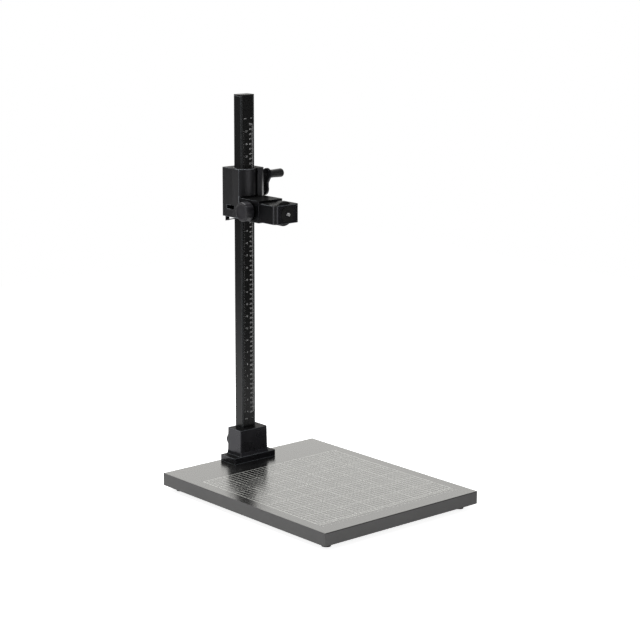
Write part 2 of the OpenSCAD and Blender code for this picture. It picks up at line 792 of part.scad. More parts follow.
// Turned grip, waisted near the crank and rounded at its free end
module crank_grip() color("#202023") {
    translate([grip_x0, grip_y, grip_z]) rotate([0, 90, 0]) difference() {
        union() {
            cylinder(d1 = grip_d - grip_taper, d2 = grip_d - grip_waist, h = grip_cone);
            translate([0, 0, grip_cone]) {
                cylinder(d1 = grip_d - grip_waist, d2 = grip_d, h = grip_l - grip_cone - grip_round);
            }
            translate([0, 0, grip_l - grip_round]) rotate_extrude() union() {
                square([grip_d / 2 - grip_round, grip_round]);
                intersection() {
                    translate([grip_d / 2 - grip_round, 0]) circle(r = grip_round);
                    square([grip_d / 2, grip_round]);
                }
            }
        }
        translate([0, 0, -1]) cylinder(d = pin_d + 2 * run_fit, h = grip_l + 2);
        translate([0, 0, grip_l - pin_head_t - pin_sink - run_fit]) {
            cylinder(d = pin_head_d + 2 * run_fit, h = grip_l);
        }
    }
}

// Arm block bolted to the carriage, bored for the carrier's spigot
module arm_block() color("#29292d") difference() {
    intersection() {
        slab([-arm_w / 2, arm_front], [arm_w / 2, car_front + arm_r + 1], arm_z, arm_top, arm_r);
        block([-arm_w / 2, arm_front, arm_z], [arm_w / 2, car_front, arm_top]);
    }
    rod_y(spigot_d + 2 * run_fit, arm_front - 1, arm_front + spigot_room, 0, arm_axis_z);
    rod_x(stud_d + 2 * run_fit, -arm_w / 2 - 1, 0, knob_y, arm_axis_z);
    for (x = [-arm_bolt_x, arm_bolt_x], z = arm_bolt_z) {
        rod_y(arm_bolt_d + 2 * run_fit, car_front - arm_bolt_deep, car_front + 1, x, z);
    }
}

module arm_block_bolts() color("#8d8e90") for (x = [-arm_bolt_x, arm_bolt_x], z = arm_bolt_z) {
    difference() {
        union() {
            rod_y(arm_bolt_d, car_front - arm_bolt_deep + 1, bolt_seat, x, z);
            rod_y(arm_bolt_head_d, bolt_seat, bolt_seat + arm_bolt_head_t, x, z);
        }
        rod_y(arm_bolt_head_d / 2, bolt_seat + 1, bolt_seat + arm_bolt_head_t + 1, x, z, $fn = 6);
    }
}

// Brass shoe whose nose lies in the spigot's groove and keeps it from sliding out
module arm_clamp_shoe() color("#b08a3c") {
    nose = -spigot_d / 2 + spigot_groove - run_fit;
    rod_x(stud_d, nose - arm_shoe_l, nose, knob_y, arm_axis_z);
}

module arm_clamp_stud() color("#b9babb") {
    nose = -spigot_d / 2 + spigot_groove - 2 * run_fit - arm_shoe_l;
    rod_x(stud_d, knob_x0 - knob_l / 2, nose, knob_y, arm_axis_z);
}

module arm_clamp_knob() color("#232327") translate([knob_x0, knob_y, arm_axis_z]) rotate([0, -90, 0]) {
    fluted_knob(knob_d, knob_l, stud_d, knob_l / 2, knob_flutes);
    knob_neck(knob_neck_d, knob_neck_l, stud_d);
}

module thrust_washer() color("#d8d8d2") difference() {
    rod_y(thrust_d, head_back, arm_front - slide_fit, 0, arm_axis_z);
    rod_y(spigot_d + 2 * run_fit, head_back - 1, arm_front + 1, 0, arm_axis_z);
}

// Carrier with rounded front corners and a room for the screw wheel, open above and below
module camera_carrier() color("#26262a") difference() {
    intersection() {
        slab([-head_w / 2, head_front], [head_w / 2, head_back + head_r + 1],
            arm_axis_z - head_h / 2, arm_axis_z + head_h / 2, head_r);
        block([-head_w / 2, head_front, arm_axis_z - head_h / 2],
            [head_w / 2, head_back, arm_axis_z + head_h / 2]);
    }
    rod_y(wheel_room_d, wheel_y0 - wheel_gap, wheel_y1 + wheel_gap, 0, arm_axis_z);
    rod_y(thread_d - thread_relief + 2 * run_fit, head_front - 1, wheel_y0, 0, arm_axis_z);
    rod_y(spigot_tail_d + 2 * run_fit, head_back - spigot_tail_l, head_back + 1, 0, arm_axis_z);
    rod_y(spigot_bolt_d + 2 * run_fit, wheel_y1, head_back, 0, arm_axis_z);
    rod_y(spigot_bolt_head_d + 2 * run_fit, wheel_y1, head_seat, 0, arm_axis_z);
}

// Turned spigot: a tail in the carrier, a journal in the arm block, a clamp groove
module carrier_spigot() color("#b9babb") difference() {
    union() {
        rod_y(spigot_tail_d, head_back - spigot_tail_l, head_back, 0, arm_axis_z);
        rod_y(spigot_d, head_back, knob_y - groove_w / 2, 0, arm_axis_z);
        rod_y(spigot_d - 2 * spigot_groove, head_back, arm_front + spigot_l, 0, arm_axis_z);
        rod_y(spigot_d, knob_y + groove_w / 2, arm_front + spigot_l, 0, arm_axis_z);
    }
    rod_y(spigot_bolt_d, head_back - spigot_tail_l - 1, head_back, 0, arm_axis_z);
}

module spigot_bolt() color("#8d8e90") difference() {
    union() {
        rod_y(spigot_bolt_head_d, wheel_y1 + wheel_gap, head_seat, 0, arm_axis_z);
        rod_y(spigot_bolt_d, wheel_y1 + wheel_gap, head_back, 0, arm_axis_z);
    }
    rod_y(spigot_bolt_d, wheel_y1, head_seat - spigot_bolt_head_t / 2, 0, arm_axis_z, $fn = 6);
}

module platform_ring() color("#101011") difference() {
    rod_y(ring_d, head_front - ring_t, head_front, 0, arm_axis_z);
    rod_y(ring_hole_d, head_front - ring_t - 1, head_front + 1, 0, arm_axis_z);
}

// Quarter-inch screw with a relieved shank behind the thread
module camera_screw() color("#d5d6d8") union() {
    rod_y(thread_d, head_front - ring_t - thread_l, head_front - ring_t, 0, arm_axis_z);
    rod_y(thread_d - thread_relief, head_front - ring_t, wheel_y1 - wheel_web, 0, arm_axis_z);
}

module screw_wheel() color("#1d1d20") difference() {
    rod_y(wheel_d, wheel_y0, wheel_y1, 0, arm_axis_z);
    rod_y(thread_d - thread_relief, wheel_y0 - 1, wheel_y1 - wheel_web, 0, arm_axis_z);
    for (i = [0 : wheel_notches - 1]) {
        translate([0, 0, arm_axis_z]) rotate([0, i * 360 / wheel_notches, 0]) {
            rod_y(notch_d, wheel_y0 - 1, wheel_y1 + 1, wheel_d / 2 + notch_d / 4, 0, $fn = 16);
        }
    }
}

baseboard_core();
grid_sheet();
backing_sheet();
edge_band_front();
edge_band_back();
edge_band_left();
edge_band_right();
rubber_feet();
rubber_foot_screws();
column_foot();
column_foot_bolts();
column_foot_washers();
foot_clamp_shoe();
foot_clamp_stud();
foot_clamp_knob();
column();
column_cap();
scale_strip();
carriage_front_shell();
carriage_rear_shell();
carriage_shell_screws();
upper_guide_liner();
lower_guide_liner();
brake_pad();
brake_shaft();
brake_cam();
brake_lever();
crank_bushes();
crank_shaft();
friction_roller();
crank_arm();
crank_screw();
crank_grip_pin();
crank_grip();
arm_block();
arm_block_bolts();
arm_clamp_shoe();
arm_clamp_stud();
arm_clamp_knob();
thrust_washer();
camera_carrier();
carrier_spigot();
spigot_bolt();
platform_ring();
camera_screw();
screw_wheel();
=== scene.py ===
import math

import bmesh
import bpy
from mathutils import Matrix, Vector


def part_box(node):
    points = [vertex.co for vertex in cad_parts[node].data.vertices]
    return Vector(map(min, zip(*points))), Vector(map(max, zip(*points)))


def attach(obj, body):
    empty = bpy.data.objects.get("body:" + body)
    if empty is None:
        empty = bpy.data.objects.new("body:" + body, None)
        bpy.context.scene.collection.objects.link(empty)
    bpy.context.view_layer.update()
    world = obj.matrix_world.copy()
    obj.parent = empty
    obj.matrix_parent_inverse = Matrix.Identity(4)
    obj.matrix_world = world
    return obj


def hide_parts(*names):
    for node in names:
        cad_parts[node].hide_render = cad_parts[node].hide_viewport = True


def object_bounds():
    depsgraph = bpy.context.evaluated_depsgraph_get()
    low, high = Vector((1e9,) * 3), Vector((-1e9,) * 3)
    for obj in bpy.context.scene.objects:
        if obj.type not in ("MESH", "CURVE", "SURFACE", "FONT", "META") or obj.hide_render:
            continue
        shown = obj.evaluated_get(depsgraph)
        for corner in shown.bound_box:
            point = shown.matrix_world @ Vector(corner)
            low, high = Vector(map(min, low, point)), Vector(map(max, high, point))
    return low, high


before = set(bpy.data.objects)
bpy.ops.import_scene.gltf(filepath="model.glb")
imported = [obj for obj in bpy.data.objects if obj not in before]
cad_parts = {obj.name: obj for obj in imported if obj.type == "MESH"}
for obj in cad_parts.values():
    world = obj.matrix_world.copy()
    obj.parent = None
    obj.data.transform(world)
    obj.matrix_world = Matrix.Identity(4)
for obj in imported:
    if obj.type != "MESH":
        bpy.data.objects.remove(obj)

# The visual part of the copy stand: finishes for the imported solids, turned knobs, and the
# print on the board and the column. Metres, in the part's frame: the origin is the middle
# of the board's top, +X the operator's right, -Y the front, +Z up.

cad_low, cad_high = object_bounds()
MM = 0.001
FAR = 1.0  # a distance that reaches past the whole part
FLOOR_Z = cad_low.z
SMOOTH = {"interpolation_type": "SMOOTHSTEP"}


# Shader building

class Signal:
    """A node's output. Arithmetic on it adds Math nodes to its finish."""

    def __init__(self, finish, socket):
        self.finish = finish
        self.socket = socket

    def maths(self, operation, *terms):
        return self.finish.maths(operation, *terms)

    def __add__(self, other):
        return self.maths("ADD", self, other)

    def __sub__(self, other):
        return self.maths("SUBTRACT", self, other)

    def __mul__(self, other):
        return self.maths("MULTIPLY", self, other)

    def __rsub__(self, other):
        return self.maths("SUBTRACT", other, self)

    def clamped(self):
        return self.maths("MINIMUM", self.maths("MAXIMUM", self, 0.0), 1.0)

    __rmul__ = __mul__


class Finish:
    """A material around one Principled shader. Keyword values are the shader's constants."""

    EDGE_CONTRAST = 4.0
    FACES_UP = 0.8  # the least upward share of the normal of a face that counts as a top

    def __init__(self, name, **constants):
        self.material = bpy.data.materials.new(name)
        self.material.use_nodes = True
        self.tree = self.material.node_tree
        self.tree.nodes.clear()
        self.shader = self.tree.nodes.new("ShaderNodeBsdfPrincipled")
        self.surface = self.tree.nodes.new("ShaderNodeOutputMaterial")
        self.show(Signal(self, self.shader.outputs[0]))
        self.use(**constants)
        self.position = self.node("ShaderNodeTexCoord", out="Object")

    def show(self, shader):
        self.tree.links.new(shader.socket, self.surface.inputs["Surface"])

    def feed(self, socket, value):
        if isinstance(value, Signal):
            self.tree.links.new(value.socket, socket)
        elif socket.type == "RGBA" and len(value) == 3:
            socket.default_value = (*value, 1.0)
        else:
            socket.default_value = value

    def use(self, **inputs):
        """Values for the shader's inputs, with an underscore for each space of a name."""
        for socket, value in inputs.items():
            self.feed(self.shader.inputs[socket.replace("_", " ")], value)

    def node(self, kind, settings=None, values=None, out=0):
        made = self.tree.nodes.new(kind)
        for name, setting in (settings or {}).items():
            setattr(made, name, setting)
        for name, value in (values or {}).items():
            self.feed(made.inputs[name], value)
        return Signal(self, made.outputs[out])

    def maths(self, operation, *terms):
        return self.node("ShaderNodeMath", {"operation": operation}, dict(enumerate(terms)))

    def spread(self, value, low, high, at_low=0.0, at_high=1.0):
        """A smooth change from at_low to at_high while the value goes from low to high."""
        return self.node("ShaderNodeMapRange", SMOOTH, {
            "Value": value, "From Min": low, "From Max": high,
            "To Min": at_low, "To Max": at_high})

    def axes(self):
        """The x, y and z of the object's own coordinates."""
        split = self.node("ShaderNodeSeparateXYZ", values={0: self.position})
        return [Signal(self, output) for output in split.socket.node.outputs]

    def noise(self, per_metre, detail, stretch=(1, 1, 1)):
        """Noise from 0 to 1, with this many blotches to the metre."""
        place = self.node("ShaderNodeMapping", values={"Vector": self.position, "Scale": stretch})
        return self.node("ShaderNodeTexNoise", values={
            "Vector": place, "Scale": per_metre, "Detail": detail, "Roughness": 0.55})

    def blend(self, amount, first, second):
        """A colour that goes from first to second as amount goes from 0 to 1."""
        values = {"Factor": amount, 6: first, 7: second}
        return self.node("ShaderNodeMix", {"data_type": "RGBA"}, values, out=2)

    def edges(self, reach):
        """1 on sharp edges, down to 0 at this distance from them."""
        softened = self.node("ShaderNodeBevel", {"samples": 8}, {"Radius": reach})
        true = self.node("ShaderNodeNewGeometry", out="Normal")
        match = self.node("ShaderNodeVectorMath", {"operation": "DOT_PRODUCT"}, {
            0: softened, 1: true}, out="Value")
        return ((1.0 - match) * self.EDGE_CONTRAST).clamped()

    def between(self, value, low, high, soft):
        """1 where the value lies between low and high, with soft ends."""
        return (self.spread(value, low - soft, low + soft)
                * self.spread(value, high + soft, high - soft))

    def dull_top(self, amount, level):
        """A matt film of this grey on faces that look up, which takes the sheen off them."""
        normal = self.node("ShaderNodeTexCoord", out="Normal")
        facing = self.node("ShaderNodeSeparateXYZ", values={0: normal}, out="Z")
        film = self.node("ShaderNodeBsdfPrincipled", values={
            "Base Color": grey(level), "Roughness": 1.0, "Specular IOR Level": 0.0})
        covered = (self.between(facing, self.FACES_UP, 2.0, 0.1) * amount).clamped()
        self.show(self.node("ShaderNodeMixShader", values={
            0: covered, 1: Signal(self, self.shader.outputs[0]), 2: film}))

    def relief(self, height, depth, strength, rounding=None):
        """Bumps of this depth in metres, on edges that look rounded by this radius."""
        values = {"Height": height, "Distance": depth, "Strength": strength}
        if rounding:
            values["Normal"] = self.node("ShaderNodeBevel", {"samples": 6}, {"Radius": rounding})
        self.use(Normal=self.node("ShaderNodeBump", values=values))


def grey(level, warmth=0.0):
    """A grey a little warmer or cooler than neutral."""
    return (level * (1 + warmth), level, level * (1 - warmth))


# Finishes

# How far up the painted highlight band fades out
HIGHLIGHT_FADE_HEIGHT = 55 * MM
TOP_FILM, TOP_FILM_GREY = 0.75, 0.011


def black_casting(name, level, roughness, grain=900, coat=0.8, coat_roughness=0.12, wear=0.15,
                  pale_edges_from=-FAR, pale_edges_to=FAR, pale_edges_right=FAR, painted_highlight_band=None):
    """Black enamel over a casting: fine orange peel, soft blotches, a thin clear coat and a
    dull film on what faces up.

    Edges are paler, in the grey wear, between two given depths and left of a given x: partly
    real edge wear and partly a painted highlight along the edges.
    The highlight band, given as (left, right, front, low, grey), is a painted highlight: a
    paler upright band in front of the depth front, which starts at the height low and fades out
    above it.
    """
    finish = Finish(
        name, IOR=1.47, Coat_Weight=coat, Coat_Roughness=coat_roughness,
        Specular_Tint=(0.88, 0.86, 1.0))
    blotch = finish.noise(35, detail=4)
    peel = finish.noise(grain, detail=2)
    x, y, z = finish.axes()
    patchy = finish.noise(160, detail=3) * 0.6 + 0.6
    # Pale edges: partly real wear, partly a painted highlight along the edges
    pale_edge_zone = (finish.between(y, pale_edges_from, pale_edges_to, 2 * MM)
               * finish.between(x, -FAR, pale_edges_right, 1 * MM))
    edge_wear_and_highlight = (finish.edges(2.2 * MM) * patchy * pale_edge_zone).clamped()
    enamel = finish.blend(blotch, grey(level * 0.85, -0.06), grey(level * 1.2, -0.08))
    colour = finish.blend(edge_wear_and_highlight, enamel, grey(wear, -0.08))
    # A painted highlight on a rounded corner: a paler upright band, brightest at its foot
    if painted_highlight_band:
        left, right, front, low, highlight_grey = painted_highlight_band
        highlight_zone = (finish.between(x, left, right, 1 * MM)
                  * finish.between(y, -FAR, front, 1.5 * MM))
        highlight_fade = finish.spread(z, low, low + HIGHLIGHT_FADE_HEIGHT, 1.0, 0.06)
        colour = finish.blend(highlight_zone * highlight_fade, colour, grey(highlight_grey))
    finish.use(Base_Color=colour, Roughness=blotch * 0.16 + (roughness - 0.08))
    finish.relief(peel, 0.06 * MM, 0.5, rounding=0.9 * MM)
    finish.dull_top(TOP_FILM * (blotch * 0.3 + 0.85), TOP_FILM_GREY)
    return finish.material


def black_plastic(name, level, roughness, rounding=0.5 * MM, tint=(1.0, 1.0, 1.02)):
    """Moulded black plastic with a fine satin grain."""
    dull, bright = (tuple(level * share * channel for channel in tint) for share in (0.9, 1.15))
    finish = Finish(name, IOR=1.49)
    blotch = finish.noise(60, detail=3)
    grain = finish.noise(2200, detail=1)
    finish.use(
        Base_Color=finish.blend(blotch, dull, bright),
        Roughness=blotch * 0.12 + (roughness - 0.06),
    )
    finish.relief(grain, 0.03 * MM, 0.4, rounding=rounding)
    return finish.material


def anodised_black(name):
    """Extruded and anodised: faint streaks along the length, and pale edges that are partly bare
    metal and partly a painted highlight.
    """
    finish = Finish(name, IOR=1.44)
    streak = finish.noise(260, detail=3, stretch=(1, 1, 0.012))
    blotch = finish.noise(9, detail=3)
    black = finish.blend(blotch, grey(0.006, -0.04), grey(0.01, -0.04))
    # The pale edges are partly bare metal and partly a painted highlight.
    finish.use(
        Base_Color=finish.blend(finish.edges(1.6 * MM), black, grey(0.4, -0.06)),
        Roughness=streak * 0.1 + blotch * 0.08 + 0.2,
    )
    finish.relief(streak, 0.02 * MM, 0.35, rounding=0.3 * MM)
    return finish.material


# The clear layer over the board's laminate and its print
BOARD_COAT = {"Coat_Weight": 1.0, "Coat_Roughness": 0.22, "Coat_IOR": 1.92}


def laminate(name):
    """Dark glossy laminate with a fine pearl grain and faint smears."""
    finish = Finish(name, IOR=1.6, **BOARD_COAT)
    smear = finish.noise(7, detail=4, stretch=(1, 0.4, 1))
    grain = finish.noise(1500, detail=2)
    tone = smear * 0.7 + grain * 0.3
    finish.use(
        Base_Color=finish.blend(tone, (0.004, 0.004, 0.0037), (0.0065, 0.0065, 0.006)),
        Roughness=smear * 0.08 + 0.2,
    )
    finish.relief(grain, 0.015 * MM, 0.25, rounding=0.4 * MM)
    return finish.material


def plain_plastic(name, level, roughness, warmth=0.0, dark_above=None):
    """Matt plastic sheet or moulding, black above a height where one is given."""
    finish = Finish(name, IOR=1.48)
    blotch = finish.noise(25, detail=4)
    fine = finish.noise(1200, detail=2)
    colour = finish.blend(blotch, grey(level * 0.9, warmth), grey(level * 1.1, warmth))
    if dark_above is not None:
        height = finish.axes()[2]
        colour = finish.blend(
            finish.between(height, dark_above, FAR, 0.2 * MM), colour, grey(0.018))
    finish.use(Base_Color=colour, Roughness=fine * 0.12 + (roughness - 0.06))
    finish.relief(fine, 0.04 * MM, 0.4, rounding=0.4 * MM)
    return finish.material


def chipboard(name):
    """Pressed chips in several browns."""
    finish = Finish(name, Roughness=0.8)
    chips = finish.node(
        "ShaderNodeTexVoronoi", values={"Vector": finish.position, "Scale": 380}, out="Color")
    chip = finish.node("ShaderNodeSeparateColor", values={0: chips})
    fibre = finish.noise(900, detail=3)
    tone = chip * 0.7 + fibre * 0.3
    finish.use(Base_Color=finish.blend(tone, (0.3, 0.2, 0.11), (0.6, 0.46, 0.29)))
    finish.relief(tone, 0.2 * MM, 0.5)
    return finish.material


def rubber(name, level=0.02):
    """Black rubber with a dusty bloom."""
    finish = Finish(name, IOR=1.5)
    bloom = finish.noise(220, detail=4)
    finish.use(
        Base_Color=finish.blend(bloom, grey(level * 0.8), grey(level * 1.5)),
        Roughness=bloom * 0.15 + 0.62,
    )
    finish.relief(bloom, 0.08 * MM, 0.4, rounding=0.5 * MM)
    return finish.material


def turned_metal(name, colour, roughness=0.28, blackened=False):
    """Turned metal with fine tool marks."""
    finish = Finish(name, Metallic=1.0)
    marks = finish.noise(2500, detail=2)
    stain = finish.noise(160, detail=4)
    dark = tuple(channel * (0.55 if blackened else 0.82) for channel in colour)
    finish.use(
        Base_Color=finish.blend(stain, dark, colour),
        Roughness=marks * 0.12 + stain * 0.12 + (roughness - 0.1),
    )
    finish.relief(marks, 0.012 * MM, 0.4, rounding=0.3 * MM)
    return finish.material


def leather(name):
    """Brown leather with open pores."""
    finish = Finish(name, Roughness=0.7)
    pore = finish.node(
        "ShaderNodeTexVoronoi", values={"Vector": finish.position, "Scale": 900}, out="Distance")
    finish.use(Base_Color=finish.blend(pore, (0.12, 0.07, 0.035), (0.3, 0.18, 0.1)))
    finish.relief(pore, 0.15 * MM, 0.6)
    return finish.material


def ink(name, colour, **constants):
    """Printing ink of this colour, a little worn."""
    finish = Finish(name, IOR=1.5, Roughness=0.35, **constants)
    wear = finish.noise(700, detail=3)
    dull = tuple(channel * 0.8 for channel in colour)
    finish.use(Base_Color=finish.blend(wear, dull, colour))
    return finish.material


front_low, front_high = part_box("carriage_front_shell")
SHELL_SEAM = front_high.y
PILLAR_FOOT_Z = 0.555
# A painted highlight: a pale band up the pillar's right front corner, brightest at the pillar's
# foot. The pale left edges are partly wear and partly a painted highlight.
front_casting = black_casting(
    "carriage_front_casting", level=0.006, roughness=0.5, grain=1100, coat_roughness=0.42,
    wear=0.75, pale_edges_to=SHELL_SEAM - 6 * MM, pale_edges_right=0.0,
    painted_highlight_band=(front_high.x - 8 * MM, FAR, front_low.y + 12 * MM, PILLAR_FOOT_Z, 0.85))
rear_casting = black_casting(
    "carriage_rear_casting", level=0.006, roughness=0.42, grain=1100, coat_roughness=0.3,
    wear=0.3, pale_edges_from=SHELL_SEAM + 6 * MM)
arm_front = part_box("arm_block")[0].y
arm_casting = black_casting(
    "arm_casting", level=0.0025, roughness=0.3, grain=1000, coat=0.1, coat_roughness=0.2,
    pale_edges_from=arm_front + 6 * MM)
carrier_low, carrier_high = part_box("camera_carrier")
# A painted highlight: a pale band on the carrier's front left corner. Its pale edges are partly
# wear and partly a painted highlight.
carrier_casting = black_casting(
    "carrier_casting", level=0.0035, roughness=0.3, grain=1000, coat=0.2, coat_roughness=0.2,
    wear=0.4, pale_edges_to=arm_front - 8 * MM,
    painted_highlight_band=(-FAR, carrier_low.x + 8 * MM, carrier_low.y + 8 * MM, carrier_high.z, 0.03))
knob_plastic = black_plastic("knob_plastic", 0.027, 0.42, tint=(1.0, 0.96, 1.14))
steel = turned_metal("bright_steel", (0.66, 0.66, 0.67))
dark_steel = turned_metal("blackened_steel", (0.1, 0.1, 0.105), 0.35, blackened=True)
brass = turned_metal("brass", (0.72, 0.52, 0.24), 0.3)
band = plain_plastic("edge_banding", 0.112, 0.5, warmth=0.01)
nylon = plain_plastic("guide_nylon", 0.62, 0.45, warmth=0.03)
white_ink = ink("white_ink", (0.76, 0.76, 0.76))
grid_ink = ink("grid_ink", (0.74, 0.74, 0.7), **BOARD_COAT)

# Nodes that aren't in this table are bright steel
FINISHES = {
    "baseboard_core": chipboard("chipboard"),
    "grid_sheet": laminate("grey_laminate"),
    "backing_sheet": plain_plastic("backing_laminate", 0.05, 0.55),
    "edge_band_front": plain_plastic(
        "front_banding", 0.112, 0.5, warmth=0.01, dark_above=-1.6 * MM),
    "edge_band_back": band,
    "edge_band_left": band,
    "edge_band_right": band,
    "rubber_feet": rubber("foot_rubber"),
    "platform_ring": rubber("ring_rubber", 0.006),
    "friction_roller": rubber("roller_rubber", 0.03),
    "column": anodised_black("anodised_black"),
    "column_cap": black_plastic("cap_plastic", 0.008, 0.4),
    "scale_strip": plain_plastic("scale_black", 0.003, 0.27, warmth=-0.06),
    "column_foot": black_casting(
        "black_casting", level=0.003, roughness=0.28, coat=0.3, wear=0.3),
    "foot_clamp_knob": knob_plastic,
    "foot_clamp_shoe": brass,
    "carriage_front_shell": front_casting,
    "carriage_rear_shell": rear_casting,
    "carriage_shell_screws": dark_steel,
    "upper_guide_liner": nylon,
    "lower_guide_liner": nylon,
    "brake_lever": black_casting(
        "lever_black", level=0.006, roughness=0.4, coat=0.3, wear=0.03),
    "brake_pad": leather("pad_leather"),
    "crank_arm": black_casting(
        "crank_enamel", level=0.004, roughness=0.33, coat=0.4, wear=0.03),
    "crank_screw": dark_steel,
    "crank_bushes": turned_metal("oiled_bronze", (0.05, 0.042, 0.035), 0.45, blackened=True),
    "crank_grip": black_plastic("grip_plastic", 0.028, 0.34),
    "crank_grip_pin": dark_steel,
    "arm_block": arm_casting,
    "arm_block_bolts": dark_steel,
    "arm_clamp_knob": knob_plastic,
    "arm_clamp_shoe": brass,
    "thrust_washer": plain_plastic("washer_plastic", 0.015, 0.5),
    "camera_carrier": carrier_casting,
    "spigot_bolt": dark_steel,
    "camera_screw": turned_metal("screw_chrome", (0.98, 0.98, 0.98), 0.75),
    "screw_wheel": black_plastic("wheel_plastic", 0.009, 0.42, rounding=0.3 * MM),
}
for node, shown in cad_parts.items():
    shown.data.materials.clear()
    shown.data.materials.append(FINISHES.get(node, steel))


# Edges: the castings, the column's cap and the crank's arm have slightly rounded ones, in mm
ROUNDED = {
    "column_foot": 1.2, "carriage_front_shell": 0.5, "carriage_rear_shell": 0.2,
    "arm_block": 0.2, "camera_carrier": 0.2, "column_cap": 0.4, "crank_arm": 0.6,
}
for node, width in ROUNDED.items():
    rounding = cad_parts[node].modifiers.new("rounded_edges", "BEVEL")
    rounding.width = width * MM
    rounding.segments = 3
    rounding.limit_method = "ANGLE"
    rounding.angle_limit = math.radians(40)
    rounding.use_clamp_overlap = False
    rounding.harden_normals = True


# Mesh building

def new_piece(name, mesh, finish, body, slot, smooth=False):
    """A piece in the part's frame that rides on a body."""
    mesh.validate()
    if smooth:
        mesh.shade_smooth()
    mesh.materials.append(finish)
    piece = bpy.data.objects.new(name, mesh)
    bpy.context.scene.collection.objects.link(piece)
    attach(piece, body)
    return piece


def turned(name, profile, place, segments, lobes=0, depth=0.0, fade=None):
    """A turned mesh. profile is (radius, height) pairs from end to end. The lobes are parted
    by flutes of this depth, times each ring's share in fade."""
    bm = bmesh.new()
    rings = []
    for index, (radius, height) in enumerate(profile):
        if radius == 0:
            rings.append([bm.verts.new((0, 0, height))])
            continue
        cut = depth * (fade[index] if fade else 0)
        ring = []
        for step in range(segments):
            angle = 2 * math.pi * step / segments
            reach = radius - cut * (0.5 - 0.5 * math.cos(lobes * angle)) ** 2
            ring.append(bm.verts.new((reach * math.cos(angle), reach * math.sin(angle), height)))
        rings.append(ring)
    for low, high in zip(rings, rings[1:]):
        for step in range(segments):
            after = (step + 1) % segments
            corners = [low[step % len(low)], low[after % len(low)],
                       high[after % len(high)], high[step % len(high)]]
            bm.faces.new(list(dict.fromkeys(corners)))
    bmesh.ops.recalc_face_normals(bm, faces=bm.faces)
    mesh = bpy.data.meshes.new(name)
    bm.to_mesh(mesh)
    bm.free()
    mesh.transform(place)
    return mesh


# Print on the board and the column

PRINT_LIFT = 0.04 * MM
CAPITAL_SHARE = 0.7  # a figure's height for each unit of the font's size


class Print:
    """Flat marks, drawn in millimetres on a plane given by its origin, right and up."""

    def __init__(self, origin, right, up, boldness=0.0):
        self.boldness = boldness
        self.origin = Vector(origin) * MM
        self.right = Vector(right)
        self.up = Vector(up)
        self.bm = bmesh.new()

    def at(self, x, y):
        return self.origin + (self.right * x + self.up * y) * MM

    def bar(self, x0, x1, y0, y1):
        corners = ((x0, y0), (x1, y0), (x1, y1), (x0, y1))
        self.bm.faces.new([self.bm.verts.new(self.at(x, y)) for x, y in corners])

    def words(self, text, x, y, height):
        """Text around the point x, y."""
        curve = bpy.data.curves.new("figure", "FONT")
        curve.body = text
        curve.size = height / CAPITAL_SHARE
        curve.resolution_u = 3
        curve.offset = self.boldness
        holder = bpy.data.objects.new("figure", curve)
        mesh = holder.to_mesh()
        xs = [v.co.x for v in mesh.vertices]
        ys = [v.co.y for v in mesh.vertices]
        centre_x, centre_y = (min(xs) + max(xs)) / 2, (min(ys) + max(ys)) / 2
        made = [
            self.bm.verts.new(self.at(x + (v.co.x - centre_x), y + (v.co.y - centre_y)))
            for v in mesh.vertices]
        for face in mesh.polygons:
            self.bm.faces.new([made[i] for i in face.vertices])
        holder.to_mesh_clear()
        bpy.data.objects.remove(holder)
        bpy.data.curves.remove(curve)

    def finish(self, name, ink_used, body, slot):
        mesh = bpy.data.meshes.new(name)
        self.bm.normal_update()
        self.bm.to_mesh(mesh)
        self.bm.free()
        new_piece(name, mesh, ink_used, body, slot)


def by_rank(count, whole, whole_value, half_value, value):
    """The value for a mark that is a whole unit, a half one or any other."""
    if count % whole == 0:
        return whole_value
    return half_value if count % (whole // 2) == 0 else value


# Grid on the board, in mm: a fine line each centimetre and a stronger one every five
GRID_LEFT, GRID_RIGHT, GRID_FRONT, GRID_BACK = -175, 175, -200, 150
CM = 10
FINE, STRONG = 0.8, 1.5
RULER, RULER_HALF = -206, 0.9
RULER_TICK_HALF = 0.25
GRID_FIGURES, GRID_FIGURE_HEIGHT = -216, 3.4

grid = Print((0, 0, PRINT_LIFT / MM), (1, 0, 0), (0, 1, 0))
for step in range((GRID_RIGHT - GRID_LEFT) // CM + 1):
    x = GRID_LEFT + step * CM
    half = (FINE if step % 5 else STRONG) / 2
    grid.bar(x - half, x + half, GRID_FRONT, GRID_BACK)
for step in range((GRID_BACK - GRID_FRONT) // CM + 1):
    y = GRID_FRONT + step * CM
    half = (FINE if step % 5 else STRONG) / 2
    grid.bar(GRID_LEFT, GRID_RIGHT, y - half, y + half)
grid.bar(GRID_LEFT, GRID_RIGHT, RULER - RULER_HALF, RULER + RULER_HALF)
for step in range(GRID_RIGHT - GRID_LEFT + 1):
    x = GRID_LEFT + step
    reach = by_rank(step, CM, 4, 3, 2)
    grid.bar(x - RULER_TICK_HALF, x + RULER_TICK_HALF, RULER - reach, RULER)
for step in range((GRID_RIGHT - GRID_LEFT) // CM + 1):
    grid.words(str(step), GRID_LEFT + step * CM, GRID_FIGURES, GRID_FIGURE_HEIGHT)
grid.finish("grid_print", grid_ink, "stand", "grid_laminate")

# Scale on the column's front, in mm, which counts from the board's top
STRIP_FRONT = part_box("scale_strip")[0].y / MM
CM_LINE, INCH_LINE = 12.0, -11.2
CM_LINE_WIDTH, CM_TICK, MM_TICK = 0.4, 0.8, 0.3
CM_FIGURES, INCH_FIGURES = 6.0, -3.2
CM_FIGURE_HEIGHT, TEN_CM_FIGURE_HEIGHT = 3.4, 4.2
LOW_CM, HIGH_CM = 10, 70
LOW_INCH, HIGH_INCH = 4, 27
INCH, EIGHTHS = 25.4, 8
INCH_TICK_HALF, INCH_FIGURE_HEIGHT = 0.12, 3.6
UNIT_WORDS = (("inch", -6.5, 2.8), ("cm", 9.3, 2.2))
UNIT_WORD_HEIGHTS = (87, 712)

